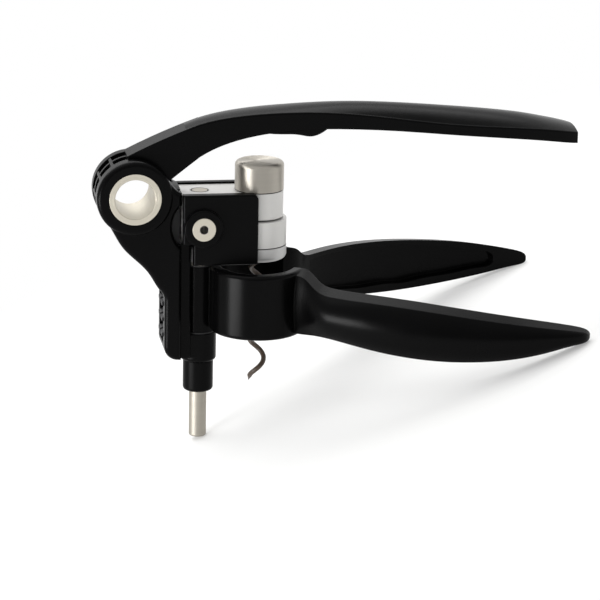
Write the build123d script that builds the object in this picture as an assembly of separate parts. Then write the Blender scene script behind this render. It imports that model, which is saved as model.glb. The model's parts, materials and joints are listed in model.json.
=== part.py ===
"""A lever corkscrew: two hinged handles grip a bottle, a geared lever lifts the carriage with its worm.

Everything is modelled in the tool's own frame: the guide rod stands on Z with its lower end at height 0,
the worm lies towards +X, the front is -Y. At the end the tool is leaned over, as it rests on a table.
"""
import bisect
import math
import os

from build123d import *

# Fits and allowances
overrun = 1.0
running_fit = 0.05
end_play = 0.1
moving_gap = 0.3
cavity_gap = 0.4

# Main axes
worm_offset = 23.9
pivot_drop = 0.3
seam = 0.3

# Guide rod and the hinge tube that it slides in
rod_diameter = 7.0
rod_end_radius = 0.8
sleeve_diameter = 12.2
sleeve_low = 19.6
sleeve_edge_radius = 1.4
hinge_tube_diameter = 8.9

# Frame casting
frame_half_width = 12.5
plate_recess = 1.0
slot_half_width = 6.4
ear_wall = 4.8
ear_edge_radius = 2.0
frame_edge_radius = 2.0
column_back = 14.9
column_low = 35.0
column_corner = 5.5
web_front = 4.0
web_half_width = 7.8
web_edge_radius = 1.0
web_gap = 1.0
foot_low = 32.3
foot_height = 12.1
foot_radius = 7.2
foot_edge_radius = 1.5
scallop_radius = 12.0
shoulder_angle = 38.0
shoulder_rise = 1.6
shoulder_slope = 0.35
neck_join_angle = 205.0
neck_start_share = 0.373
neck_shares = [(0.637, 0.441), (0.787, 0.537), (1.165, 0.694)]

# Lever pivot
pivot_bore = 16.0
pivot_tube_wall = 1.0
pivot_collar_wall = 1.3
pivot_length = 25.6
pivot_edge_chamfer = 0.15
bushing_wall = 1.0

# Gear on the lever's hub and the rack that it drives
gear_teeth = 13
hub_rim = 1.1
pressure_angle = 25.0
addendum_share = 0.85
root_clearance = 0.35
backlash = 0.25
gear_half_width = 6.0
gear_web = 1.6
involute_steps = 5
rack_teeth = 10
rack_bar = 3.1
lug_thickness = 5.0
lug_height = 10.0
lug_depth = 4.0
lug_play = 0.1
lug_floor = 2.0
rack_pin_diameter = 2.0
rack_pin_depth_share = 0.58

# Lever arm: sections from its root to its tip, as reach, upper edge, underside, half width and crown
lever_reach = 177.8
lever_root = 5.7
lever_rise = 32.5
grip_half_width = 13.5
lever_corner = 0.9
lever_root_angle = 21.5
lever_back_angle = 99.0
lever_step = 1.2
lever_section_shares = [
    (0.000, 0.808, 0.346, 0.444, 0.04),
    (0.038, 0.876, 0.475, 0.460, 0.04),
    (0.089, 0.936, 0.602, 0.490, 0.04),
    (0.140, 0.972, 0.683, 0.530, 0.05),
    (0.240, 1.010, 0.774, 0.610, 0.07),
    (0.325, 1.017, 0.806, 0.685, 0.12),
    (0.406, 0.999, 0.806, 0.745, 0.19),
    (0.486, 0.964, 0.794, 0.812, 0.25),
    (0.583, 0.910, 0.766, 0.900, 0.31),
    (0.678, 0.863, 0.730, 0.970, 0.33),
    (0.778, 0.828, 0.693, 1.000, 0.30),
    (0.875, 0.797, 0.655, 0.990, 0.22),
    (0.950, 0.757, 0.613, 0.905, 0.13),
    (0.986, 0.729, 0.587, 0.800, 0.10),
    (1.000, 0.716, 0.578, 0.720, 0.08),
]
lever_throat_shares = (0.905, 0.286)
finger_stop_shares = [
    (0.200, 0.752),
    (0.240, 0.737),
    (0.285, 0.726),
    (0.318, 0.704),
    (0.340, 0.738),
    (0.362, 0.815),
]
finger_stop_width_share = 0.9
lever_steps = 18

# Carriage
yoke_half_width = 9.3
yoke_edge_radius = 1.0
eye_radius = 9.7
eye_height = 10.7
yoke_block_front = 8.0
cheek_thickness = 3.6
cheek_back = 3.7
cheek_front = 22.0
cheek_rise = 0.8
cheek_corner = 2.5
cheek_edge_radius = 0.8
boss_drop = 12.4
boss_radius = 7.7
boss_proud = 2.1
boss_gap = 0.5
boss_edge_radius = 0.7
rivet_diameter = 4.0
rivet_head_diameter = 9.3
rivet_head_height = 0.7
rivet_hole_diameter = 3.5
rivet_hole_depth = 10.0
dowel_diameter = 2.4
dowel_length = 5.0
dowel_place = 13.0

# Cap, spindle and worm
cap_radius = 9.8
cap_height = 11.6
cap_bevel = 1.6
cap_wall = 2.2
cap_roof = 3.0
spigot_height = 1.2
spindle_diameter = 8.0
spindle_flange_diameter = 12.6
spindle_flange_height = 1.6
spindle_head_height = 1.2
bush_wall = 1.5
thrust_washer_thickness = 0.7
thrust_washer_diameter = 14.0
worm_diameter = 7.5
worm_wire = 2.0
worm_pitch = 15.2
worm_tip_height = 21.7
worm_point_length = 4.5
worm_point_diameter = 0.3
worm_collar_diameter = 7.9
worm_collar_height = 3.7
worm_shank_diameter = 4.8
worm_shank_socket = 8.0

# Nut
carrier_height = 5.6
carrier_radius = 11.2
carrier_edge_radius = 2.0
carrier_arm_half_width = 6.0
nut_height = 11.1
nut_radius = 11.1
nut_edge_radius = 0.4
nut_roof = 1.2
nut_insert_radius = 8.0
eye_gap = 0.6
guide_pin_diameter = 2.4
guide_pin_offset = 3.5
guide_pin_inner = 2.4
guide_pin_outer = 7.4
grub_screw_diameter = 2.4

# Handles, closed on a bottle: rows of reach, upper edge, lower edge, thickness, brow width, brow drop and bow
handle_splay = 21.0
handle_open_past = 8.0
knuckle_extra = 0.6
knuckle_radius = 6.85
knuckle_ring_radius = 5.6
washer_thickness = 0.6
hinge_collar_height = 1.5
jaw_bore = 30.0
jaw_wall = 4.0
jaw_lift = 1.9
jaw_height = 26.5
jaw_gap = 0.4
jaw_edge_radius = 1.6
neck_offset = 12.0
handle_reach = 157.9
handle_thickness = 11.4
handle_bow = 13.0
handle_shares = [
    (0.000, 1.000, 0.000, 0.640, 0.12, 0.050, 0.000),
    (0.031, 1.000, 0.003, 0.690, 0.13, 0.048, 0.000),
    (0.072, 0.975, 0.012, 0.860, 0.15, 0.046, 0.010),
    (0.095, 0.900, 0.025, 0.945, 0.19, 0.045, 0.075),
    (0.118, 0.828, 0.037, 0.975, 0.24, 0.045, 0.210),
    (0.147, 0.785, 0.041, 0.990, 0.28, 0.045, 0.360),
    (0.180, 0.777, 0.035, 0.998, 0.30, 0.045, 0.485),
    (0.245, 0.779, 0.007, 1.000, 0.30, 0.045, 0.674),
    (0.340, 0.777, -0.044, 0.985, 0.30, 0.045, 0.859),
    (0.440, 0.759, -0.082, 0.968, 0.30, 0.045, 0.965),
    (0.540, 0.724, -0.095, 0.948, 0.30, 0.045, 0.999),
    (0.640, 0.678, -0.080, 0.922, 0.30, 0.045, 0.959),
    (0.740, 0.622, -0.038, 0.882, 0.30, 0.043, 0.832),
    (0.830, 0.560, 0.029, 0.815, 0.30, 0.039, 0.620),
    (0.900, 0.500, 0.105, 0.735, 0.30, 0.033, 0.374),
    (0.955, 0.444, 0.175, 0.620, 0.30, 0.025, 0.160),
    (0.982, 0.404, 0.200, 0.500, 0.30, 0.017, 0.058),
    (0.995, 0.362, 0.232, 0.340, 0.30, 0.010, 0.018),
    (1.000, 0.322, 0.266, 0.190, 0.30, 0.003, 0.006),
]
neck_end_share = 0.147
neck_steps = 8
grip_steps = 16
knuckle_count = 3
pocket_depth = 4.4
pocket_shares = [
    (0.155, 0.690, 0.190),
    (0.172, 0.704, 0.130),
    (0.240, 0.712, 0.098),
    (0.340, 0.706, 0.062),
    (0.540, 0.648, 0.024),
    (0.700, 0.556, 0.065),
    (0.800, 0.476, 0.124),
    (0.860, 0.420, 0.172),
    (0.884, 0.380, 0.205),
    (0.892, 0.330, 0.250),
]
pocket_steps = 12

# Search for the lean at which the tool rests
steepest_lean = 45.0
lean_steps = 24

# Worked-out heights, from the foot up
base = (Align.CENTER, Align.CENTER, Align.MIN)
rod_radius = rod_diameter / 2
tube_radius = hinge_tube_diameter / 2
foot_high = foot_low + foot_height
knuckle_low = foot_high + washer_thickness + end_play
knuckle_height = jaw_height + knuckle_extra
knuckle_high = knuckle_low + knuckle_height
jaw_low = knuckle_low + jaw_lift
collar_low = knuckle_high + end_play + washer_thickness
collar_high = collar_low + hinge_collar_height
carrier_high = collar_high + carrier_height
nut_high = carrier_high + nut_height
eye_low = nut_high + eye_gap
worm_collar_low = eye_low - worm_collar_height
eye_high = eye_low + eye_height
cap_high = eye_high + cap_height
boss_height = eye_high - boss_drop
yoke_block_low = boss_height - lug_height / 2 - lug_floor
web_top = yoke_block_low - web_gap
pivot_height = eye_high - pivot_drop

# Worked-out sizes of the pivot, from its bore outwards
pivot_tube_diameter = pivot_bore + 2 * pivot_tube_wall
pivot_collar_diameter = pivot_tube_diameter + 2 * pivot_collar_wall
ear_radius = pivot_collar_diameter / 2 + ear_wall
lever_bore = pivot_tube_diameter / 2 + running_fit + bushing_wall

# Worked-out gear and rack, from the lever's bore and the carriage's boss
pitch_radius = (lever_bore + hub_rim + root_clearance) / (1 - 2 * addendum_share / gear_teeth)
module = 2 * pitch_radius / gear_teeth
addendum = addendum_share * module
column_front = boss_radius + boss_gap
rack_back = column_front + moving_gap
pivot_back = rack_back + rack_bar + root_clearance + addendum + pitch_radius
tooth_pitch = math.pi * module
tip_radius = pitch_radius + addendum
root_radius = pitch_radius - addendum - root_clearance
pitch_line = pitch_radius - pivot_back
rack_tip = pitch_line - addendum
rack_root = pitch_line + addendum + root_clearance
rack_low = pivot_height - (rack_teeth - 1 / 2) * tooth_pitch
cheek_inner = yoke_half_width
cheek_outer = cheek_inner + cheek_thickness
boss_outer = cheek_outer + boss_proud
cavity_radius = knuckle_radius + moving_gap
helix_radius = (worm_diameter - worm_wire) / 2
worm_passage = max(worm_diameter, worm_collar_diameter) / 2 + moving_gap


def slab(x_low, x_high, y_low, y_high, z_low, z_high):
    """A block between two opposite corners."""
    block = Box(x_high - x_low, y_high - y_low, z_high - z_low, align=Align.MIN)
    return Pos(x_low, y_low, z_low) * block


def upright(radius, low, high, x=0):
    """A cylinder standing between two heights."""
    return Pos(x, 0, low) * Cylinder(radius, high - low, align=base)


def ring(outer, inner, low, high, x=0):
    """A standing ring or tube."""
    return upright(outer, low, high, x) - upright(inner, low - overrun, high + overrun, x)


def cross(radius, y_low, y_high, x, z):
    """A cylinder lying along Y."""
    return Pos(x, y_low, z) * Rot(-90, 0, 0) * Cylinder(radius, y_high - y_low, align=base)


def lower_round(shape, radius):
    """Round the edges of the lowest face."""
    return fillet(shape.faces().sort_by(Axis.Z)[0].edges(), radius)


def eased_row(table, share):
    """The row of a table at a share of its length, on smooth curves through the table's rows."""
    places = [row[0] for row in table]
    at = min(max(bisect.bisect(places, share), 1), len(table) - 1) - 1
    spans = [right - left for left, right in zip(places, places[1:])]
    part = (share - places[at]) / spans[at]
    row = [share]
    for column in range(1, len(table[0])):
        values = [line[column] for line in table]
        rises = [(right - left) / span for left, right, span in zip(values, values[1:], spans)]
        slopes = [eased_slope(rises, spans, knot) for knot in (at, at + 1)]
        bend = 3 * rises[at] - 2 * slopes[0] - slopes[1]
        twist = slopes[0] + slopes[1] - 2 * rises[at]
        row.append(values[at] + spans[at] * part * (slopes[0] + part * (bend + part * twist)))
    return row


def eased_slope(rises, spans, knot):
    """The slope at one row of a table: that of a parabola through the row and its neighbours."""
    if knot == 0 or knot == len(rises):
        return rises[min(knot, len(rises) - 1)]
    near, far = spans[knot - 1], spans[knot]
    return (rises[knot - 1] * far + rises[knot] * near) / (near + far)


def stations(first, last, count):
    """Places from first to last that crowd together towards both ends."""
    turns = [math.pi * step / count for step in range(count + 1)]
    return [first + (last - first) * (1 - math.cos(turn)) / 2 for turn in turns]


def at_pivot(reach, rise):
    """A point of the lever's side view, measured from the pivot."""
    return (reach - pivot_back, rise + pivot_height)


def polar(radius, angle):
    """A point of the side view at an angle round the lever's pivot."""
    turn = math.radians(angle)
    return at_pivot(radius * math.cos(turn), radius * math.sin(turn))


def frame_body():
    """The casting: two ears, a column with the rack's slot, a web in front of it and the foot."""
    span = pivot_height - column_low
    back = [(-x * pivot_back, column_low + z * span) for x, z in neck_shares]
    start = (-column_back, column_low + neck_start_share * span)
    contour = Spline(start, *back, polar(ear_radius, neck_join_angle), tangents=[(0, 1), (-1, 1)])
    turn = math.radians(shoulder_angle)
    shoulder_end = (-column_front, pivot_height + shoulder_rise)
    falls = [(math.sin(turn), -math.cos(turn)), (1, -shoulder_slope)]
    shoulder = Spline(polar(ear_radius, shoulder_angle), shoulder_end, tangents=falls)
    hub = Polyline(contour @ 1, at_pivot(0, 0), shoulder @ 0)
    column = Polyline(shoulder_end, (-column_front, column_low), (-column_back, column_low), start)
    profile = make_face([contour, hub, shoulder, column])
    outline = fillet(profile.vertices().group_by(Axis.Y)[0].sort_by(Axis.X)[0], column_corner)
    outline = outline + Pos(*at_pivot(0, 0)) * Circle(ear_radius)
    outline = outline - Pos(0, boss_height) * Circle(scallop_radius)
    body = extrude(Plane.XZ * outline, frame_half_width - plate_recess, both=True)
    outer_faces = body.faces().sort_by(Axis.Y)
    body = fillet(outer_faces[0].edges() + outer_faces[-1].edges(), frame_edge_radius)
    ears = cross(ear_radius, -frame_half_width, frame_half_width, -pivot_back, pivot_height)
    body += fillet(ears.edges().filter_by(GeomType.CIRCLE), ear_edge_radius)
    web_back = column_corner - column_back
    web = slab(web_back, -web_front, -web_half_width, web_half_width, column_low, web_top)
    body += fillet(web.edges().filter_by(Axis.Z).group_by(Axis.X)[-1], web_edge_radius)
    body += slab(-web_front, 0, -foot_radius, foot_radius, column_low, foot_high)
    body += lower_round(upright(foot_radius, foot_low, foot_high), foot_edge_radius)
    slot_floor = rack_low - moving_gap
    back_limit = -pivot_back - ear_radius - overrun
    slot_top = pivot_height + ear_radius + overrun
    body -= slab(back_limit, -column_front, -slot_half_width, slot_half_width, slot_floor, slot_top)
    body -= upright(cavity_radius, foot_high, web_top + overrun)
    body -= upright(tube_radius, foot_low - overrun, foot_high + overrun)
    reach = frame_half_width + overrun
    return body - cross(pivot_collar_diameter / 2, -reach, reach, -pivot_back, pivot_height)


def pivot_tube():
    """The hollow steel tube that the lever turns on."""
    half = pivot_length / 2
    tube = cross(pivot_tube_diameter / 2, -half, half, -pivot_back, pivot_height)
    tube -= cross(pivot_bore / 2, -half - overrun, half + overrun, -pivot_back, pivot_height)
    rims = tube.edges().filter_by(GeomType.CIRCLE).sort_by(lambda edge: edge.radius)
    return chamfer(rims[:2], pivot_edge_chamfer)


def pivot_collar(side):
    """A ring pressed into one ear round the tube's end; side is -1 in front and 1 behind."""
    low, high = sorted((side * slot_half_width, side * pivot_length / 2))
    collar = cross(pivot_collar_diameter / 2, low, high, -pivot_back, pivot_height)
    return collar - cross(pivot_tube_diameter / 2, low, high, -pivot_back, pivot_height)


def hinge_tube():
    """The sleeve below the foot, which runs up through foot and knuckles as the handles' hinge pin."""
    sleeve = lower_round(upright(sleeve_diameter / 2, sleeve_low, foot_low), sleeve_edge_radius)
    tube = sleeve + upright(tube_radius, foot_low, carrier_high)
    return tube - upright(rod_radius + running_fit, sleeve_low - overrun, carrier_high + overrun)


def hinge_washers():
    """Thrust washers under and over the knuckles."""
    lower = ring(knuckle_radius, tube_radius, foot_high, foot_high + washer_thickness)
    upper = ring(knuckle_radius, tube_radius, knuckle_high + end_play, collar_low)
    return Compound(children=[lower, upper])


def hinge_collar():
    """The ring on the tube that keeps the knuckles down."""
    return ring(knuckle_radius, tube_radius, collar_low, collar_high)


def tooth_flank():
    """Points of one gear flank, from the root to the tip, as (radius, half angle)."""
    pressure = math.radians(pressure_angle)
    base_radius = pitch_radius * math.cos(pressure)
    half_at_pitch = (tooth_pitch / 4 - backlash / 2) / pitch_radius
    spread_at_pitch = math.tan(pressure) - pressure
    low = max(base_radius, root_radius)
    flank = []
    for step in range(involute_steps + 1):
        radius = low + (tip_radius - low) * step / involute_steps
        roll = math.acos(base_radius / radius)
        flank.append((radius, half_at_pitch + spread_at_pitch - (math.tan(roll) - roll)))
    return flank


def gear_tooth():
    """One involute tooth with its root sunk into the hub, centred on the +X side of the pivot."""
    flank = tooth_flank()
    upper = [(radius * math.cos(half), radius * math.sin(half)) for radius, half in flank]
    lower = [(x, -z) for x, z in upper]
    inner = root_radius - root_clearance
    foot = (inner * math.cos(flank[0][1]), inner * math.sin(flank[0][1]))
    tip = ThreePointArc(upper[-1], (tip_radius, 0), lower[-1])
    closing = Polyline(lower[0], (foot[0], -foot[1]), foot, upper[0])
    return make_face([Spline(*upper), tip, Spline(*reversed(lower)), closing])


def gear():
    """The toothed hub with the web that runs round between its two rows of tooth gaps."""
    wheel = Circle(root_radius)
    for tooth in range(gear_teeth):
        wheel += Rot(0, 0, (tooth + 1 / 2) * 360 / gear_teeth) * gear_tooth()
    placed = Plane.XZ * Pos(*at_pivot(0, 0)) * wheel
    web = Plane.XZ * Pos(*at_pivot(0, 0)) * Circle(tip_radius)
    return extrude(placed, gear_half_width, both=True) + extrude(web, gear_web / 2, both=True)


def on_lever(reach_share, rise_share):
    """A point of the lever's side view, along from its root and up from the pivot."""
    root = tip_radius + lever_root
    return at_pivot(root + reach_share * (lever_reach - root), rise_share * lever_rise)


def lever_section(station):
    """One section across the lever: flat underside, rounded upper edges and a domed top."""
    reach_share, top_share, low_share, width_share, crown_share = station
    half = width_share * grip_half_width
    reach, top = on_lever(reach_share, top_share)
    low = on_lever(reach_share, low_share)[1]
    crown = top + crown_share * grip_half_width
    near = half - lever_corner * math.sqrt(1 / 2)
    shoulder = top - lever_corner
    middle = lever_corner * (1 - math.sqrt(1 / 2))
    edges = [
        Line((-half, low), (half, low)),
        Line((half, low), (half, shoulder)),
        ThreePointArc((half, shoulder), (half - middle / 2, top - middle), (near, top)),
        ThreePointArc((near, top), (0, crown), (-near, top)),
        ThreePointArc((-near, top), (-half + middle / 2, top - middle), (-half, shoulder)),
        Line((-half, shoulder), (-half, low)),
    ]
    across = Plane(origin=(reach, 0, 0), x_dir=(0, 1, 0), z_dir=(1, 0, 0))
    return across * make_face(edges)


def lever_arm():
    """The lever: geared hub, root between the ears, arched arm, finger stop and domed grip."""
    first, second = lever_section_shares[:2]
    places = stations(first[0], lever_section_shares[-1][0], lever_steps)
    arm = loft([lever_section(eased_row(lever_section_shares, place)) for place in places])
    back = polar(tip_radius + lever_step, lever_back_angle)
    throat = at_pivot(lever_throat_shares[0] * (tip_radius + lever_root), lever_throat_shares[1] * lever_rise)
    top = Spline(back, on_lever(first[0], first[1]), on_lever(second[0], second[1]))
    under = Spline(on_lever(second[0], second[2]), throat, polar(tip_radius, lever_root_angle))
    inner = [polar(root_radius, angle) for angle in (lever_root_angle, lever_back_angle)]
    face = make_face([top, Line(top @ 1, under @ 0), under, Polyline(under @ 1, *inner, back)])
    root = extrude(Plane.XZ * face, gear_half_width, both=True)
    stop_points = [on_lever(*shares) for shares in finger_stop_shares]
    stop = make_face([Spline(*stop_points), Line(stop_points[-1], stop_points[0])])
    stop_row = eased_row(lever_section_shares, finger_stop_shares[0][0])
    stop_half = finger_stop_width_share * stop_row[3] * grip_half_width
    body = gear() + root + arm + extrude(Plane.XZ * stop, stop_half, both=True)
    reach = gear_half_width + overrun
    return body - cross(lever_bore, -reach, reach, -pivot_back, pivot_height)


def lever_bushing():
    """The plain bearing in the gear's hub."""
    liner = cross(lever_bore, -gear_half_width, gear_half_width, -pivot_back, pivot_height)
    inner = lever_bore - bushing_wall
    return liner - cross(inner, -gear_half_width, gear_half_width, -pivot_back, pivot_height)


def lug_block(play):
    """The rack's lug, or with play the pocket for it in the yoke."""
    half = lug_thickness / 2 + play
    low = boss_height - lug_height / 2 - play
    high = boss_height + lug_height / 2 + play
    return slab(-rack_back, lug_depth - rack_back + play, -half, half, low, high)


def toothed_rack():
    """The rack: a bar with trapezoid teeth, a groove for the gear's web, and the lug that the yoke holds."""
    slope = math.tan(math.radians(pressure_angle))
    half_at_pitch = tooth_pitch / 4 - backlash / 2
    half_tip = half_at_pitch - addendum * slope
    half_root = half_at_pitch + (addendum + root_clearance) * slope
    high = pivot_height + half_root
    bar = slab(rack_root, -rack_back, -gear_half_width, gear_half_width, rack_low, high)
    outline = Polyline(
        (rack_root, -half_root),
        (rack_tip, -half_tip),
        (rack_tip, half_tip),
        (rack_root, half_root),
        close=True,
    )
    tooth = extrude(Plane.XZ * make_face(outline), gear_half_width, both=True)
    for count in range(rack_teeth):
        bar += Pos(0, 0, pivot_height - count * tooth_pitch) * tooth
    groove = gear_web / 2 + moving_gap
    bar -= slab(rack_tip - overrun, rack_root, -groove, groove, rack_low - overrun, high + overrun)
    bar += lug_block(0)
    return bar - rack_pin(overrun)


def rack_pin(spare=0):
    """The pin through yoke and lug."""
    half = yoke_half_width + spare
    place = rack_pin_depth_share * lug_depth - rack_back
    return cross(rack_pin_diameter / 2, -half, half, place, boss_height)


def carriage_yoke():
    """The grey bar: a block round the rod, the arm, and the eye over the worm."""
    back = moving_gap - column_front
    arm = slab(back, worm_offset, -yoke_half_width, yoke_half_width, eye_low, eye_high)
    arm += upright(eye_radius, eye_low, eye_high, worm_offset)
    arm = fillet(arm.edges().filter_by(Axis.Z).sort_by(Axis.X)[:2], yoke_edge_radius)
    arm += slab(back, yoke_block_front, -yoke_half_width, yoke_half_width, yoke_block_low, eye_low)
    arm += upright(cap_radius - cap_wall, eye_high, eye_high + spigot_height, worm_offset)
    arm -= upright(rod_radius, yoke_block_low - overrun, eye_high + overrun)
    arm -= upright(rod_radius + seam, eye_high - seam, eye_high + overrun)
    bush_radius = spindle_diameter / 2 + running_fit + bush_wall
    arm -= upright(bush_radius, eye_low - overrun, eye_high, worm_offset)
    washer_seat = thrust_washer_diameter / 2 + running_fit
    arm -= upright(washer_seat, eye_high, eye_high + spigot_height + overrun, worm_offset)
    arm -= lug_block(lug_play)
    arm -= rack_pin(overrun)
    return arm - rivet_shank() - cheek_dowels()


def rivet_shank():
    """The shank of the cross rivet."""
    return cross(rivet_diameter / 2, -boss_outer, boss_outer, 0, boss_height)


def cross_rivet():
    """The rivet through cheeks, yoke and rod, with a blind hole in each head."""
    rivet = rivet_shank()
    for side in (-1, 1):
        low, high = sorted((side * boss_outer, side * (boss_outer + rivet_head_height)))
        rivet += cross(rivet_head_diameter / 2, low, high, 0, boss_height)
    for side in (-1, 1):
        end = boss_outer + rivet_head_height
        low, high = sorted((side * (end - rivet_hole_depth), side * (end + overrun)))
        rivet -= cross(rivet_hole_diameter / 2, low, high, 0, boss_height)
    return rivet


def cheek_dowels():
    """Dowels between the yoke and its cheeks."""
    pins = []
    for side in (-1, 1):
        low = side * cheek_inner - dowel_length / 2
        pins.append(cross(dowel_diameter / 2, low, low + dowel_length, dowel_place, (eye_low + eye_high) / 2))
    return Compound(children=pins)


def front_cheek():
    """The black side plate with the round boss, relieved where the nut stands beside it."""
    low = collar_high + end_play
    high = eye_high + cheek_rise
    plate = slab(-cheek_back, cheek_front, -cheek_outer, -cheek_inner, low, high)
    plate += slab(moving_gap - column_front, cheek_front, -cheek_outer, -cheek_inner, yoke_block_low, high)
    upright_edges = plate.edges().filter_by(Axis.Y).sort_by(lambda edge: edge.center().X + edge.center().Z)
    plate = fillet(upright_edges[-1], cheek_corner)
    plate = fillet(plate.faces().sort_by(Axis.Y)[0].edges(), cheek_edge_radius)
    boss = cross(boss_radius, -boss_outer, -cheek_inner, 0, boss_height)
    plate += fillet(boss.edges().group_by(Axis.Y)[0], boss_edge_radius)
    plate -= upright(carrier_radius + cavity_gap, low - overrun, eye_low - eye_gap / 2, worm_offset)
    plate -= upright(eye_radius + running_fit, low - overrun, high + overrun, worm_offset)
    return plate - rivet_shank() - cheek_dowels()


def guide_rod():
    """The steel rod, flush with the yoke on top and rounded below."""
    rod = lower_round(upright(rod_radius, 0, eye_high), rod_end_radius)
    return rod - rivet_shank()


def spindle_heights():
    """Heights of the spindle's flange: its underside, its top, and the top of its head."""
    low = eye_high + thrust_washer_thickness + end_play
    high = low + spindle_flange_height
    return low, high, high + end_play + thrust_washer_thickness + spindle_head_height


def spindle_bush():
    """The bearing bush in the yoke's eye."""
    inner = spindle_diameter / 2 + running_fit
    return ring(inner + bush_wall, inner, eye_low, eye_high, worm_offset)


def thrust_washer(low):
    """One washer beside the spindle's flange."""
    inner = spindle_diameter / 2 + running_fit
    return ring(thrust_washer_diameter / 2, inner, low, low + thrust_washer_thickness, worm_offset)


def worm_spindle():
    """The turned head that the worm is set in."""
    flange_low, flange_high, head_high = spindle_heights()
    spindle = upright(spindle_diameter / 2, eye_low, head_high, worm_offset)
    spindle += upright(spindle_flange_diameter / 2, flange_low, flange_high, worm_offset)
    socket_top = eye_low + worm_shank_socket
    return spindle - upright(worm_shank_diameter / 2, eye_low - overrun, socket_top, worm_offset)


def spindle_cap():
    """The steel cap: bevelled outside, and stepped inside to keep the upper washer down."""
    flange_low, flange_high, head_high = spindle_heights()
    cap = upright(cap_radius, eye_high, cap_high, worm_offset)
    cap = fillet(cap.faces().sort_by(Axis.Z)[-1].edges(), cap_bevel)
    cap = chamfer(cap.faces().sort_by(Axis.Z)[0].edges(), seam)
    washer_high = flange_high + end_play + thrust_washer_thickness
    cap -= upright(cap_radius - cap_wall, eye_high - overrun, washer_high, worm_offset)
    return cap - upright(spindle_flange_diameter / 2, washer_high, cap_high - cap_roof, worm_offset)


def worm():
    """The helix with its point, its collar, and the shank that the spindle holds."""
    slope = math.atan2(worm_pitch, 2 * math.pi * helix_radius)
    start = worm_tip_height + worm_point_length * math.sin(slope)
    line = Helix(worm_pitch, worm_collar_low + worm_wire - start, helix_radius)
    section = Plane(origin=line @ 0, z_dir=line % 0)
    wire = sweep(section * Circle(worm_wire / 2), path=line, is_frenet=True)
    point_end = Plane(origin=line @ 0 - (line % 0) * worm_point_length, z_dir=line % 0)
    wire += loft([point_end * Circle(worm_point_diameter / 2), section * Circle(worm_wire / 2)])
    wire = Pos(worm_offset, 0, start) * Rot(0, 0, 180) * wire
    head = upright(worm_collar_diameter / 2, worm_collar_low, eye_low, worm_offset)
    head += upright(worm_shank_diameter / 2, eye_low, eye_low + worm_shank_socket, worm_offset)
    return head + wire


def nut_carrier():
    """The ring under the nut, with the arm and eye that hold it on the hinge tube."""
    body = lower_round(upright(carrier_radius, collar_high, carrier_high, worm_offset), carrier_edge_radius)
    body += slab(0, worm_offset, -carrier_arm_half_width, carrier_arm_half_width, collar_high, carrier_high)
    body += upright(knuckle_radius, collar_high, carrier_high)
    body -= upright(tube_radius, collar_high - overrun, carrier_high + overrun)
    body -= upright(worm_passage, collar_high - overrun, carrier_high + overrun, worm_offset)
    return body - carrier_screws()


def carrier_screws():
    """Grub screws, front and rear, that hold the carrier on the hinge tube."""
    screws = []
    for side in (-1, 1):
        low, high = sorted((side * tube_radius, side * carrier_arm_half_width))
        screws.append(cross(grub_screw_diameter / 2, low, high, 0, (collar_high + carrier_high) / 2))
    collar_room = upright(tube_radius, collar_high, carrier_high)
    return Compound(children=[screw - collar_room for screw in screws])


def nut_housing():
    """The grey cylinder that holds the nut insert."""
    body = upright(nut_radius, carrier_high, nut_high, worm_offset)
    body = fillet(body.edges().filter_by(GeomType.CIRCLE), nut_edge_radius)
    body -= upright(nut_insert_radius, carrier_high - overrun, nut_high - nut_roof, worm_offset)
    return body - upright(worm_passage, carrier_high, nut_high + overrun, worm_offset)


def nut_guide_pins():
    """Two pins that reach between the worm's turns."""
    slope = math.atan2(worm_pitch, 2 * math.pi * helix_radius)
    start = worm_tip_height + worm_point_length * math.sin(slope)
    first = start - guide_pin_offset
    half_turns = math.ceil((carrier_high + guide_pin_diameter / 2 + end_play - first) / (worm_pitch / 2))
    height = first + half_turns * worm_pitch / 2
    pins = []
    length = guide_pin_outer - guide_pin_inner
    for side in (-1, 1):
        pin = Rot(0, side * 90, 0) * Cylinder(guide_pin_diameter / 2, length, align=base)
        pins.append(Pos(worm_offset + side * guide_pin_inner, 0, height) * pin)
    return Compound(children=pins)


def nut_insert():
    """The nylon nut in the housing, which carries the pins."""
    insert = ring(nut_insert_radius, worm_passage, carrier_high, nut_high - nut_roof, worm_offset)
    return insert - nut_guide_pins()


def on_handle(reach_share, height_share):
    """A point of the handle's side view, along from the neck's start and up from the jaw's lower edge."""
    neck_start = worm_offset + neck_offset
    return (neck_start + reach_share * (handle_reach - neck_start), jaw_low + height_share * jaw_height)


def inner_face(share):
    """How far out the handle's inner face lies, which bows away from the other handle."""
    return -jaw_gap - eased_row(handle_shares, share)[-1] * handle_bow


def grip_section(share):
    """One section across a handle: flat inside, a sloping band above and below, a convex outer face."""
    row = eased_row(handle_shares, share)
    reach, top = on_handle(row[0], row[1])
    low = on_handle(row[0], row[2])[1]
    inner = inner_face(share)
    outer = inner - row[3] * handle_thickness
    brow = outer + row[4] * row[3] * handle_thickness
    drop = row[5] * jaw_height
    edges = [
        Line((inner, low), (inner, top)),
        Line((inner, top), (brow, top - drop)),
        ThreePointArc((brow, top - drop), (outer, (top + low) / 2), (brow, low + drop)),
        Line((brow, low + drop), (inner, low)),
    ]
    across = Plane(origin=(reach, 0, 0), x_dir=(0, 1, 0), z_dir=(1, 0, 0))
    return across * make_face(edges)


def jaw():
    """Half a collar round the bottle's neck, rounded outside; the handle's neck grows out of it."""
    outer = jaw_bore / 2 + jaw_wall
    half = slab(worm_offset - outer, worm_offset + outer, -outer, -jaw_gap, jaw_low, jaw_low + jaw_height)
    collar = upright(outer, jaw_low, jaw_low + jaw_height, worm_offset)
    return half & fillet(collar.edges().filter_by(GeomType.CIRCLE), jaw_edge_radius)


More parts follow.
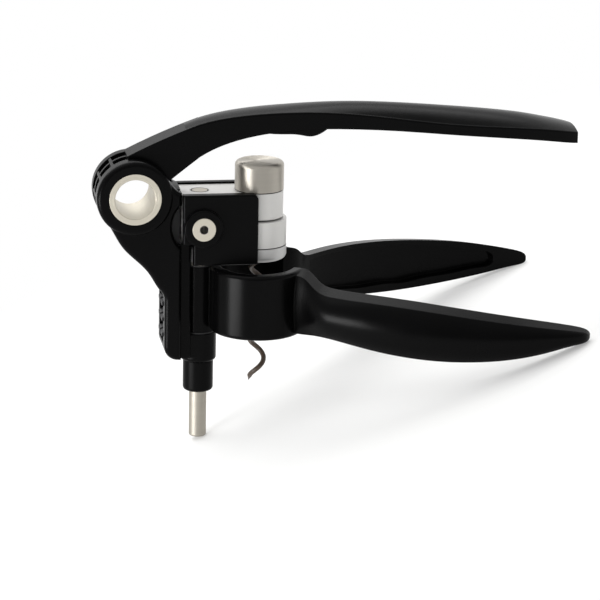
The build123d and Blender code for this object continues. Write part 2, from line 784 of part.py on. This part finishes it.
def pocket_section(share):
    """One section across the recess in a grip, from in front of its inner face to the recess's floor."""
    row = eased_row(pocket_shares, share)
    reach, top = on_handle(row[0], row[1])
    low = on_handle(row[0], row[2])[1]
    near = inner_face(share) + jaw_gap / 2
    deep = inner_face(share) - pocket_depth
    across = Plane(origin=(reach, 0, 0), x_dir=(0, 1, 0), z_dir=(1, 0, 0))
    return across * make_face(Polyline((near, low), (near, top), (deep, top), (deep, low), close=True))


def grip_pocket():
    """The recess in the inner face of a grip, which follows its bow."""
    places = stations(pocket_shares[0][0], pocket_shares[-1][0], pocket_steps)
    return loft([pocket_section(place) for place in places])


def sector(radius, low, high, first, last):
    """A slice of a standing cylinder between two angles, seen from above."""
    turns = [math.radians(angle) for angle in (first, (first + last) / 2, last)]
    corners = [(radius * math.cos(turn), radius * math.sin(turn)) for turn in turns]
    wedge = make_face([Line((0, 0), corners[0]), ThreePointArc(*corners), Line(corners[2], (0, 0))])
    return Pos(0, 0, low) * extrude(wedge, high - low)


def handle(own_thirds):
    """A front handle, closed: its leaf of the hinge, its rings on the hinge tube, jaw and grip."""
    third = knuckle_height / knuckle_count
    open_angle = handle_splay + handle_open_past
    edge_angle = math.degrees(moving_gap / knuckle_radius)
    leaf = sector(knuckle_radius, knuckle_low, knuckle_high, 180 + open_angle + edge_angle, 360 - edge_angle)
    first, last = handle_shares[0][0], handle_shares[-1][0]
    places = stations(first, neck_end_share, neck_steps)[:-1] + stations(neck_end_share, last, grip_steps)
    grip = loft([grip_section(place) for place in places])
    body = jaw() + grip + leaf - grip_pocket()
    body -= upright(jaw_bore / 2, jaw_low - overrun, jaw_low + 2 * jaw_height, worm_offset)
    body -= upright(cavity_radius, knuckle_high, knuckle_high + jaw_height)
    for count in range(knuckle_count):
        low = knuckle_low + count * third
        if count in own_thirds:
            body += upright(knuckle_ring_radius, low + end_play, low + third - end_play)
        else:
            body -= upright(knuckle_ring_radius + moving_gap, low - end_play, low + third + end_play)
    return body - upright(tube_radius + running_fit, knuckle_low - overrun, knuckle_high + overrun)


def lowest(shape, lean):
    """The lowest height of a shape once it is leaned over."""
    return shape.rotate(Axis.Y, lean).bounding_box().min.Z


def resting_lean(rod, grip):
    """The lean, in degrees, at which the rod's end and the grips touch the table together."""
    low, high = 0, steepest_lean
    for _ in range(lean_steps):
        lean = (low + high) / 2
        if lowest(grip, lean) > lowest(rod, lean):
            low = lean
        else:
            high = lean
    return (low + high) / 2


front = Rot(0, 0, -handle_splay) * handle((0, 2))
rear = Rot(0, 0, handle_splay) * mirror(handle((1,)), about=Plane.XZ)
cheek = front_cheek()
pieces = {
    "frame_body": frame_body(),
    "pivot_tube": pivot_tube(),
    "front_pivot_collar": pivot_collar(-1),
    "rear_pivot_collar": pivot_collar(1),
    "hinge_tube": hinge_tube(),
    "hinge_washers": hinge_washers(),
    "hinge_collar": hinge_collar(),
    "nut_carrier": nut_carrier(),
    "carrier_screws": carrier_screws(),
    "nut_housing": nut_housing(),
    "nut_insert": nut_insert(),
    "nut_guide_pins": nut_guide_pins(),
    "lever_arm": lever_arm(),
    "lever_bushing": lever_bushing(),
    "carriage_yoke": carriage_yoke(),
    "front_cheek": cheek,
    "rear_cheek": mirror(cheek, about=Plane.XZ),
    "toothed_rack": toothed_rack(),
    "rack_pin": rack_pin(),
    "guide_rod": guide_rod(),
    "cross_rivet": cross_rivet(),
    "cheek_dowels": cheek_dowels(),
    "spindle_cap": spindle_cap(),
    "spindle_bush": spindle_bush(),
    "lower_thrust_washer": thrust_washer(eye_high),
    "upper_thrust_washer": thrust_washer(spindle_heights()[1] + end_play),
    "worm_spindle": worm_spindle(),
    "worm": worm(),
    "front_handle": front,
    "rear_handle": rear,
}

# Lean the tool over until rod and handles stand on the table, with the middle of its footprint at the origin
table_lean = resting_lean(pieces["guide_rod"], pieces["front_handle"])
leaned = Compound(children=[Rot(0, table_lean, 0) * piece for piece in pieces.values()])
bounds = leaned.bounding_box()
middle = bounds.center()
stand = Pos(-middle.X, -middle.Y, -bounds.min.Z) * Rot(0, table_lean, 0)

os.makedirs("parts", exist_ok=True)
for name, piece in pieces.items():
    export_step(stand * piece, f"parts/{name}.step")
print("lean", round(table_lean, 3), "size", bounds.size)
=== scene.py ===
# %% [markdown]
# A lever corkscrew, dressed for its picture
#
# The construction of this tool is finished: every casting, pin and bush comes in as a mesh that sits
# where it belongs. It could be modelled here once more, but two models drift apart, so it is loaded as it
# is and measured at once. What is left is the work of a finisher and a photographer: give each piece its
# finish, put the tool on a pale table, light it softly and find the place that the picture was taken from.

# %% Load the finished construction
import json
import math

import bpy
from mathutils import Matrix, Vector


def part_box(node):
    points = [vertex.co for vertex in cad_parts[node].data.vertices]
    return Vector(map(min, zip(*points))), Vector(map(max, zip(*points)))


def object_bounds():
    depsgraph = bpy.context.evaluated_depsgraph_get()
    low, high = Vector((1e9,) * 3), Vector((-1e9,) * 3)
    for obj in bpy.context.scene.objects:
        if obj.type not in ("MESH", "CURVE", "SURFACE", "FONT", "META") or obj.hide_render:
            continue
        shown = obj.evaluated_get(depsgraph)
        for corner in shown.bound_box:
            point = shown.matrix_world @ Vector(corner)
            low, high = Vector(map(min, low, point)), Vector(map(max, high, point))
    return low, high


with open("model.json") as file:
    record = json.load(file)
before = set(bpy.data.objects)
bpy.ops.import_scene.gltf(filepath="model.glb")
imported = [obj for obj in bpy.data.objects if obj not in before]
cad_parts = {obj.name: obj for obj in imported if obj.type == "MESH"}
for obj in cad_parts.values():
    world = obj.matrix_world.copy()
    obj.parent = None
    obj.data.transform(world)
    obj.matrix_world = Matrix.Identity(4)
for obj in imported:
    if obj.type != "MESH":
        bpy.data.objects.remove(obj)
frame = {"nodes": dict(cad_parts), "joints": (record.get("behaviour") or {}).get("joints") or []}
cad_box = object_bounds()
nodes = frame["nodes"]
joints = {joint["name"]: joint for joint in frame["joints"]}
print("pieces of the construction:", len(nodes))

# %% [markdown]
# The tool's own axes
#
# The tool leans on the table, so its own upright isn't the table's. The angles could be typed in, but the
# joints hold them already: the handles' hinge runs up the guide rod, and the lever's pivot runs from
# front to back. Everything that comes off a lathe, such as the rod or the cap, is grained about one of
# these two lines.

# %% Axes read off the joints
hinge_point = Vector(joints["front_handle_hinge"]["pos_m"])
pivot_point = Vector(joints["lever_pivot"]["pos_m"])
worm_point = Vector(joints["worm_spin"]["pos_m"])
tool_up = Vector(joints["front_handle_hinge"]["axis"]).normalized()
tool_back = -Vector(joints["lever_pivot"]["axis"]).normalized()
tool_along = tool_back.cross(tool_up)
print("lean of the tool in degrees:", round(math.degrees(math.atan2(tool_up.x, tool_up.z)), 2))

# %% [markdown]
# Shader sums that read like sums
#
# A finish is a little sum: a grain here, a speckle there, weighed and added. Laid out node by node it
# takes many lines and reads badly, so one small class wraps a node's output. A sum of such wrappers adds
# its Math nodes by itself, a comparison gives a mask of ones and noughts, and any other node comes from
# one method.


# %% One class for sockets
class Wire:
    """An output socket of a node tree, which can be used in sums as a number can."""

    def __init__(self, tree, socket=None):
        self.tree = tree
        self.socket = socket

    def node(self, kind, settings=None, inputs=None, out=0):
        """Add a node of any kind: its settings first, then the values or links of its sockets."""
        made = self.tree.nodes.new("ShaderNode" + kind)
        for name, value in (settings or {}).items():
            if name == "stops":
                self.set_stops(made.color_ramp, value)
            else:
                setattr(made, name, value)
        for name, value in (inputs or {}).items():
            self.feed(made.inputs[name], value)
        return Wire(self.tree, made.outputs[out])

    def set_stops(self, ramp, stops):
        """Give a colour ramp its two stops, as pairs of place and grey level."""
        for element, (place, grey) in zip(ramp.elements, stops):
            element.position = place
            element.color = (grey, grey, grey, 1.0)

    def feed(self, socket, value):
        """Link a wire to a socket, or set the socket to a value."""
        if isinstance(value, Wire):
            self.tree.links.new(value.socket, socket)
        else:
            socket.default_value = value

    def maths(self, operation, *values):
        """A Math node on wires and numbers."""
        return self.node("Math", {"operation": operation}, dict(enumerate(values)))

    def __add__(self, other):
        return self.maths("ADD", self, other)

    def __radd__(self, other):
        return self.maths("ADD", other, self)

    def __sub__(self, other):
        return self.maths("SUBTRACT", self, other)

    def __rsub__(self, other):
        return self.maths("SUBTRACT", other, self)

    def __mul__(self, other):
        return self.maths("MULTIPLY", self, other)

    def __rmul__(self, other):
        return self.maths("MULTIPLY", other, self)

    def __truediv__(self, other):
        return self.maths("DIVIDE", self, other)

    def __rtruediv__(self, other):
        return self.maths("DIVIDE", other, self)

    def __lt__(self, other):
        return self.maths("LESS_THAN", self, other)

    def __gt__(self, other):
        return self.maths("GREATER_THAN", self, other)

    def __abs__(self):
        return self.maths("ABSOLUTE", self)

    def vector(self, operation, *others, out=0):
        """Vector Math on this wire, with a second vector where the operation takes one."""
        return self.node("VectorMath", {"operation": operation}, dict(enumerate((self, *others))), out)

    def blend(self, first, second):
        """Mix two colours by this wire, on the Mix node's own sockets for colours."""
        first_color, second_color, mixed_color = 6, 7, 2
        inputs = {"Factor": self, first_color: first, second_color: second}
        return self.node("Mix", {"data_type": "RGBA"}, inputs, mixed_color)

    def noise(self, waves, detail=2.0, rough=0.5):
        """A cloud pattern at the place on this wire, with so many waves to the metre."""
        inputs = {"Vector": self, "Scale": waves, "Detail": detail, "Roughness": rough}
        return self.node("TexNoise", None, inputs)


print("reflected forms ready:", [name for name in vars(Wire) if name.startswith("__r")])

# %% [markdown]
# A material that is ready to be fed
#
# Each finish starts the same way: an empty material with one Principled shader, the constants on the
# shader's own sockets, and the place on the piece as a wire. The place could come from the world, but
# then the grain would stay behind when a joint moves, so it comes from the piece's own coordinates. Each
# finish also ends the same way: colour, roughness and a fine bump, over edges that a Bevel node softens
# as polishing does.

# %% Start and close a finish
bevel_samples = 6


def start_finish(name, **constants):
    """A new material with its constants set; gives the material, its shader and the place on the piece."""
    material = bpy.data.materials.new(name)
    material.use_nodes = True
    tree = material.node_tree
    shader = tree.nodes["Principled BSDF"]
    for socket, value in constants.items():
        shader.inputs[socket.replace("_", " ")].default_value = value
    place = Wire(tree).node("TexCoord", out="Object")
    return material, shader, place


def close_finish(shader, place, color, roughness, height, depth, edge):
    """Feed colour, roughness and a bump of some depth to the shader, over edges softened by a radius."""
    place.feed(shader.inputs["Base Color"], color)
    place.feed(shader.inputs["Roughness"], roughness)
    soft_edge = place.node("Bevel", {"samples": bevel_samples}, {"Radius": edge})
    bump = place.node("Bump", None, {"Height": height, "Distance": depth, "Normal": soft_edge})
    place.feed(shader.inputs["Normal"], bump)


def dress(material, *names):
    """Give pieces of the construction a finish."""
    for name in names:
        slots = nodes[name].data.materials
        slots.clear()
        slots.append(material)
    print(material.name, "on", ", ".join(names))


print("pieces that wait for a finish:", len(nodes))

# %% [markdown]
# Black lacquer on the castings
#
# Frame, lever, cheeks and handles are zinc castings under a satin black lacquer. It is nearly black where
# you look straight at it and turns grey towards the edges, so the shine at right angles is kept low. Up
# close it has a faint orange peel, about a millimetre from hump to hump, and its gloss isn't quite even.
# The humps could be modelled, but they are so shallow that a bump in the shader looks the same and leaves
# the castings alone. The cheeks and the hinge's tube are a little duller than the rest.

# %% The lacquer
mm = 0.001
micron = 0.001 * mm
lacquer_black = (0.0010, 0.0010, 0.0011, 1.0)
lacquer_grey = (0.0018, 0.0018, 0.0019, 1.0)
lacquer_edge = 0.5 * mm
cloud_waves = 60.0
peel_waves = 900.0
dust_waves = 4200.0
cloud_swell = 0.3
cloud_dullness = 0.07
dust_dullness = 0.05


def black_lacquer(name, dullness, peel):
    """Satin black lacquer, of a least roughness and with an orange peel of some depth."""
    material, shader, place = start_finish(name, Specular_IOR_Level=0.06, IOR=1.5)
    clouds = place.noise(cloud_waves)
    humps = place.noise(peel_waves, detail=1.0)
    dust = place.noise(dust_waves, detail=1.0)
    color = clouds.blend(lacquer_black, lacquer_grey)
    roughness = dullness + cloud_dullness * clouds + dust_dullness * dust
    height = humps + cloud_swell * clouds
    close_finish(shader, place, color, roughness, height, depth=peel, edge=lacquer_edge)
    return material


casting_lacquer = black_lacquer("satin_black_lacquer", dullness=0.20, peel=12 * micron)
dress(casting_lacquer, "frame_body", "lever_arm", "front_handle", "rear_handle")
cheek_lacquer = black_lacquer("soft_black_lacquer", dullness=0.26, peel=10 * micron)
dress(cheek_lacquer, "front_cheek", "rear_cheek", "hinge_tube")

# %% [markdown]
# Painted shade at the seams
#
# Where the cap sits on the yoke, the nut on its carrier and the rod's end in the yoke, a thin dark line
# of painted shade stands in for the shadow in the joint. It could be a groove in the metal, but the
# pieces meet flush, so the piece's colour is painted dark close to its end. The end is measured on the
# piece's own mesh.

# %% The painted shade line
# painted shade: a dark line where pieces meet, standing in for the shadow in the joint
painted_shade_black = (0.03, 0.028, 0.026, 1.0)
shade_line_width = 0.4 * mm


def reaches(name, point, axis):
    """How far the corners of a piece's mesh lie along an axis from a point."""
    return [(vertex.co - point).dot(axis) for vertex in nodes[name].data.vertices]


def along_axis(place, point, axis):
    """A wire for how far the place lies along an axis from a point."""
    return place.vector("SUBTRACT", point).vector("DOT_PRODUCT", axis, out="Value")


def painted_shade_line(along, end):
    """A mask for the painted shade line, which covers what lies within the line's width of the piece's end.
    """
    return abs(along - end) < shade_line_width


rod_end = max(reaches("guide_rod", hinge_point, tool_up))
cap_foot = min(reaches("spindle_cap", worm_point, tool_up))
nut_foot = min(reaches("nut_housing", worm_point, tool_up))
print("seams along the tool's upright:", [round(end, 4) for end in (rod_end, cap_foot, nut_foot)])

# %% [markdown]
# Turned steel
#
# Rod, cap, rivet and the rings round the lever's pivot come off a lathe and are brushed while they turn,
# so their grain runs in circles about their own axis. A picture of brushed metal could be wrapped round
# each piece, but a noise that only knows how far a place is along the axis and how far from it draws
# exactly such circles. The pivot's rings are the brightest steel of the tool, and they come first.

# %% The steel, and the pivot's rings
bright_steel = (0.66, 0.62, 0.525)
# painted shade: the rivet hole's wall is coloured darker than the head
hole_shade_grey = (0.50, 0.49, 0.47, 1.0)
steel_edge = 0.2 * mm
ring_waves = 5200.0
ring_depth = 6 * micron
ring_dullness = 0.12
band_waves = 420.0
smudge_waves = 90.0
smudge_dullness = 0.06
quarter_turn = 0.25


def off_axis(place, point, axis):
    """A wire for how far the place lies from an axis through a point."""
    return place.vector("SUBTRACT", point).vector("CROSS_PRODUCT", axis).vector("LENGTH", out="Value")


def turned_steel(name, point, axis, shade, dullness, groove_share,
                 hole=None, seam=None, bare=0.0, smear=0.0):
    """Steel turned about an axis, whose grooves have a share of its shade.

    hole is the radius of a drilled hole, whose wall is painted darker as shade. seam is the place of a
    painted shade line along the axis, and bare is the radius within which an end face stays free of it.
    smear draws a reflection out along the axis.
    """
    constants = {"Metallic": 1.0, "Anisotropic": smear, "Anisotropic_Rotation": quarter_turn}
    material, shader, place = start_finish(name, **constants)
    along = along_axis(place, point, axis)
    across = off_axis(place, point, axis)
    lathe = place.node("CombineXYZ", None, {"X": along, "Y": across})
    rings = lathe.noise(ring_waves, detail=3.0, rough=0.7)
    bands = lathe.noise(band_waves)
    smudge = place.noise(smudge_waves)
    groove = [groove_share * channel for channel in shade]
    color = ((rings + bands) / 2).blend((*groove, 1.0), (*shade, 1.0))
    if hole is not None:
        # the hole's wall is painted darker, as shade inside the hole
        color = (across < hole).blend(color, hole_shade_grey)
    if seam is not None:
        end_face = across < bare
        # painted shade line close to the piece's end, for the shadow in the seam
        color = (painted_shade_line(along, seam) * (1 - end_face)).blend(color, painted_shade_black)
    roughness = dullness + ring_dullness * rings + smudge_dullness * smudge
    close_finish(shader, place, color, roughness, rings, depth=ring_depth, edge=steel_edge)
    return material


pivot_steel = turned_steel(
    "turned_pivot_steel", pivot_point, tool_back, bright_steel, dullness=0.34, groove_share=0.93)
dress(pivot_steel, "pivot_tube", "front_pivot_collar", "rear_pivot_collar")

# %% [markdown]
# Guide rod
#
# The rod is a darker and duller steel than the rings. Its upper end lies flush in the yoke, so the painted
# shade line of the seam is the outer rim of its round end face. The line could be drawn on the yoke as
# well, but a mask on the rod needs no more than the rod's own axis.

# %% The guide rod
cool_steel = (0.44, 0.412, 0.36)
rod_bare_end = 3.1 * mm
rod_steel = turned_steel(
    "turned_rod_steel", hinge_point, tool_up, cool_steel, dullness=0.42, groove_share=0.8,
    seam=rod_end, bare=rod_bare_end)
dress(rod_steel, "guide_rod", "hinge_collar", "carrier_screws")

# %% [markdown]
# Cap
#
# The cap is brushed so finely that its grooves aren't seen one by one. They show in another way: grooves
# draw a reflection out across themselves, so on the cap a lamp turns into one long upright stripe.
# Bumps that fine would only make the picture noisy, so the shader's own anisotropy does it, turned to lie
# along the axis.

# %% The cap
warm_steel = (0.58, 0.546, 0.485)
cap_steel = turned_steel(
    "turned_cap_steel", worm_point, tool_up, warm_steel, dullness=0.40, groove_share=0.72,
    seam=cap_foot, smear=0.9)
dress(cap_steel, "spindle_cap", "worm_spindle")

# %% [markdown]
# Rivet and pins
#
# A tubular rivet holds the cheeks, the yoke and the rod together. Its hole is real and comes with the
# construction, and its wall is painted greyer than the turned head as shade inside the hole. A second
# material could do that, but a mask by the distance from the rivet's axis does it within one. The hidden
# pins and dowels share this steel.

# %% The rivet
rivet_hole = 1.8 * mm
rivet_point = sum(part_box("cross_rivet"), Vector()) / 2
rivet_steel = turned_steel(
    "turned_rivet_steel", rivet_point, tool_back, bright_steel, dullness=0.34, groove_share=0.9,
    hole=rivet_hole)
dress(rivet_steel, "cross_rivet", "rack_pin", "cheek_dowels", "nut_guide_pins")

# %% [markdown]
# Blasted aluminium
#
# Yoke, nut housing and nut carrier are grey, without any grain: they are blasted with fine beads and then
# anodised. The dents could be modelled, but there are far too many of them, so a noise as fine as the
# beads gives the dry look, and a slow cloud keeps it from looking printed. The anodised skin dulls the
# metal, which is why it is only half metallic. The carrier is a shade darker than the other two.

# %% The aluminium
light_grey = (0.64, 0.632, 0.615)
dark_grey = (0.57, 0.567, 0.56)
aluminium_edge = 0.3 * mm
bead_waves = 3800.0
bead_depth = 10 * micron
bead_dullness = 0.1
bead_share = 0.6
patch_waves = 70.0
dent_share = 0.9


def blasted_aluminium(name, shade, dullness, seam=None):
    """Aluminium blasted with beads, whose dents have a share of its shade, with painted shade at a seam."""
    material, shader, place = start_finish(name, Metallic=0.5)
    beads = place.noise(bead_waves, rough=0.6)
    patches = place.noise(patch_waves)
    mottle = bead_share * beads + (1 - bead_share) * patches
    dent = [dent_share * channel for channel in shade]
    color = mottle.blend((*dent, 1.0), (*shade, 1.0))
    if seam is not None:
        along = along_axis(place, worm_point, tool_up)
        # painted shade line where the nut meets its carrier, for the shadow in the seam
        color = painted_shade_line(along, seam).blend(color, painted_shade_black)
    roughness = dullness + bead_dullness * beads
    close_finish(shader, place, color, roughness, beads, depth=bead_depth, edge=aluminium_edge)
    return material


dress(blasted_aluminium("blasted_aluminium", light_grey, dullness=0.40), "carriage_yoke")
dress(blasted_aluminium("blasted_nut_aluminium", light_grey, dullness=0.40, seam=nut_foot), "nut_housing")
dress(blasted_aluminium("dark_blasted_aluminium", dark_grey, dullness=0.42), "nut_carrier")

# %% [markdown]
# The worm's coating
#
# The worm is steel wire under a dark brown coating that lets it slide through cork. The coating is a
# little blotchy, and it is worn lighter in small spots. The spots could be placed by hand, but a ramp
# that keeps only the peaks of a noise scatters them over the whole helix.

# %% The coating
coat_dark = (0.036, 0.023, 0.015, 1.0)
coat_light = (0.072, 0.047, 0.031, 1.0)
coat_edge = 0.1 * mm
coat_dullness = 0.36
blotch_waves = 500.0
blotch_dullness = 0.14
spot_waves = 2600.0
spot_depth = 10 * micron
worn_color = (0.16, 0.13, 0.11, 1.0)
worn_stops = [(0.60, 0.0), (0.72, 1.0)]
worn_share = 0.35


def worm_coating():
    """A blotchy brown coating, worn in spots."""
    material, shader, place = start_finish("brown_worm_coating", Specular_IOR_Level=0.45)
    blotches = place.noise(blotch_waves, detail=3.0)
    spots = place.noise(spot_waves)
    worn = place.node("ValToRGB", {"stops": worn_stops}, {"Fac": spots})
    coat = blotches.blend(coat_dark, coat_light)
    color = (worn_share * worn).blend(coat, worn_color)
    roughness = coat_dullness + blotch_dullness * blotches
    close_finish(shader, place, color, roughness, spots, depth=spot_depth, edge=coat_edge)
    return material


dress(worm_coating(), "worm")

# %% [markdown]
# Nylon
#
# Rack, bushing, washers and the nut's insert are moulded nylon, black or white. Most of it is hidden, and a
# plain colour could do, but the rack shows when the lever is up, so it gets the fine grain that a mould
# leaves.

# %% The nylon
nylon_edge = 0.2 * mm
nylon_dullness = 0.45
grain_waves = 1500.0
grain_depth = 20 * micron
grain_dullness = 0.1


def moulded_nylon(name, light, dark):
    """Nylon with a fine grain from its mould, between two shades."""
    material, shader, place = start_finish(name, Specular_IOR_Level=0.3)
    grain = place.noise(grain_waves)
    color = grain.blend((*dark, 1.0), (*light, 1.0))
    roughness = nylon_dullness + grain_dullness * grain
    close_finish(shader, place, color, roughness, grain, depth=grain_depth, edge=nylon_edge)
    return material


black_nylon = moulded_nylon("moulded_black_nylon", light=(0.022, 0.022, 0.023), dark=(0.014, 0.014, 0.015))
dress(black_nylon, "toothed_rack", "hinge_washers")
white_nylon = moulded_nylon("moulded_white_nylon", light=(0.70, 0.69, 0.66), dark=(0.62, 0.61, 0.58))
dress(white_nylon, "lever_bushing", "nut_insert")

# %% [markdown]
# Bronze
#
# The worm turns in a bearing of sintered bronze, pressed from powder and full of fine pores that hold oil.
# The pores are far too small to model, so one fine noise makes the surface uneven in colour, gloss and
# height. The bearing only shows when the tool is taken apart.

# %% The bronze
bronze_dark = (0.30, 0.18, 0.08, 1.0)
bronze_light = (0.50, 0.33, 0.16, 1.0)
bronze_edge = 0.2 * mm
bronze_dullness = 0.34
pore_waves = 4200.0
pore_depth = 10 * micron
pore_dullness = 0.15


def sintered_bronze():
    """Bronze pressed from powder, with its pores."""
    material, shader, place = start_finish("sintered_bronze", Metallic=1.0)
    pores = place.noise(pore_waves)
    color = pores.blend(bronze_dark, bronze_light)
    roughness = bronze_dullness + pore_dullness * pores
    close_finish(shader, place, color, roughness, pores, depth=pore_depth, edge=bronze_edge)
    return material


dress(sintered_bronze(), "spindle_bush", "lower_thrust_washer", "upper_thrust_washer")

# %% [markdown]
# Table
#
# The tool stands on a white table that runs on without a horizon. A curved backdrop could hide the
# horizon, but from above a large flat table is enough.

# %% The table
table_half = 3.0


def put_in_scene(name, data):
    """A new object with some data, in the scene."""
    made = bpy.data.objects.new(name, data)
    bpy.context.scene.collection.objects.link(made)
    return made


table_mesh = bpy.data.meshes.new("table")
corners = [(x * table_half, y * table_half, 0.0) for x, y in ((-1, -1), (1, -1), (1, 1), (-1, 1))]
table_mesh.from_pydata(corners, [], [(0, 1, 2, 3)])
table = put_in_scene("table", table_mesh)
print("table side in metres:", 2 * table_half)

# %% [markdown]
# Table paint
#
# Near the tool the table is painted white and takes the shadow. Farther off it should be plain white,
# which more light on the table could do, but then the tool would be too bright. So the paint fades into
# an even white that only the camera, reflections and glass see, and that adds no light to the tool.

# %% The paint
table_white = (0.90, 0.90, 0.89, 1.0)
pure_white = (1.0, 1.0, 1.0, 1.0)
shadow_reach = 0.34
fade_stops = [(0.36, 0.26), (0.90, 1.0)]
seeing_rays = ("Is Camera Ray", "Is Glossy Ray", "Is Transmission Ray")


def table_paint():
    """White paint that fades into an even white, away from the tool."""
    constants = {"Base_Color": table_white, "Roughness": 0.6, "Specular_IOR_Level": 0.1}
    material, shader, place = start_finish("white_table", **constants)
    distance = place.vector("LENGTH", out="Value")
    fade = place.node("ValToRGB", {"stops": fade_stops}, {"Fac": distance / shadow_reach})
    seen = sum(place.node("LightPath", out=ray) for ray in seeing_rays)
    paint = Wire(place.tree, shader.outputs["BSDF"])
    even_white = place.node("Emission", None, {"Color": pure_white, "Strength": 1.0})
    mixed = place.node("MixShader", None, {0: fade * seen, 1: paint, 2: even_white})
    place.feed(place.tree.nodes["Material Output"].inputs["Surface"], mixed)
    return material


table_mesh.materials.append(table_paint())
print("even white from so many metres off:", round(shadow_reach * fade_stops[-1][0], 3))

# %% [markdown]
# Room
#
# The room is a pale studio, brightest overhead and at the back and dimmer behind the photographer. That
# is why the lacquer's front faces stay black while everything that faces up turns grey. A picture of a
# studio could light it, but one ramp along one direction says all that the lacquer shows of the room.

# %% The room
bright_side = (0.20, 0.60, 0.775)
room_stops = [(0.20, 0.22), (0.85, 1.0)]
world = bpy.data.worlds.new("studio")
bpy.context.scene.world = world
world.use_nodes = True
sky = Wire(world.node_tree).node("TexCoord", out="Generated")
facing = sky.vector("DOT_PRODUCT", bright_side, out="Value")
glow = sky.node("ValToRGB", {"stops": room_stops}, {"Fac": (1 + facing) / 2})
sky.feed(world.node_tree.nodes["Background"].inputs["Color"], glow)
print("room's grey levels, dimmest and brightest:", [grey for place, grey in room_stops])

# %% [markdown]
# Lamps
#
# Three lamps add to the room: a broad one overhead gives the soft shadow, a wide one behind draws the
# sheen on top of the lever, and a small window low on the left draws the upright stripes on the jaw, the
# cap and the rod. Point lamps could give the same light, but only a lamp with a size has a shape that
# gloss can mirror.

# %% The lamps
middle = (cad_box[0] + cad_box[1]) / 2


def lamp(name, place, width, height, watts):
    """A rectangular lamp that looks at the middle of the tool."""
    light = bpy.data.lights.new(name, "AREA")
    light.shape = "RECTANGLE"
    light.size = width
    light.size_y = height
    light.energy = watts
    made = put_in_scene(name, light)
    made.location = place
    made.rotation_euler = (middle - Vector(place)).to_track_quat("-Z", "Y").to_euler()


lamp("overhead_softbox", place=(-0.25, 0.10, 1.30), width=1.2, height=1.2, watts=4.0)
lamp("back_softbox", place=(0.05, 0.72, 0.95), width=1.5, height=0.6, watts=7.0)
lamp("left_window", place=(-0.535, -0.27, 0.13), width=0.30, height=0.16, watts=2.4)
print("lamps:", [light.name for light in bpy.data.lights])

# %% [markdown]
# Camera
#
# The picture was taken with a long lens from a little above. The camera's place could be given on the
# table, but in the picture the rod stands upright although the tool leans. So it is given from the hinge
# on the rod, along the tool's own axes: turned to the side, raised, and then rolled a little.

# %% The photograph's view
view_turn = math.radians(-9.2)
view_rise = math.radians(16.22)
view_roll = math.radians(1.06)
level = tool_along * math.cos(view_turn) + tool_back * math.sin(view_turn)
outward = tool_along * math.sin(view_turn) - tool_back * math.cos(view_turn)
toward = outward * math.cos(view_rise) + tool_up * math.sin(view_rise)
upward = toward.cross(level)
right = level * math.cos(view_roll) + upward * math.sin(view_roll)
up = upward * math.cos(view_roll) - level * math.sin(view_roll)
print("height of the view over the table in degrees:", round(math.degrees(math.asin(toward.z)), 1))

# %% [markdown]
# Lens
#
# The lens is long, so the handles' ends are drawn hardly smaller than the jaw. Its length is worked out
# from pixels of the picture, as they are what can be measured. The Standard view transform shows a colour
# about as it is written, which the default one, made to tame very bright scenes, doesn't.

# %% The camera
frame_pixels = 600
focal_pixels = 3259.2
sensor_width = 36.0
view_distance = 1.3134
target_along = 0.0412
target_up = 0.0106
camera_data = bpy.data.cameras.new("camera")
camera_data.sensor_width = sensor_width
camera_data.lens = focal_pixels / frame_pixels * sensor_width
camera = put_in_scene("camera", camera_data)
target = hinge_point + tool_along * target_along + tool_up * target_up
turn = Matrix((right, up, toward)).transposed()
camera.matrix_world = Matrix.Translation(target + toward * view_distance) @ turn.to_4x4()
bpy.context.scene.camera = camera
bpy.context.scene.view_settings.view_transform = "Standard"
print("lens in millimetres:", round(camera_data.lens, 1))

# %% [markdown]
# Sizes
#
# The dressed tool has to be as large as the construction. Its box is measured when the construction is
# loaded.
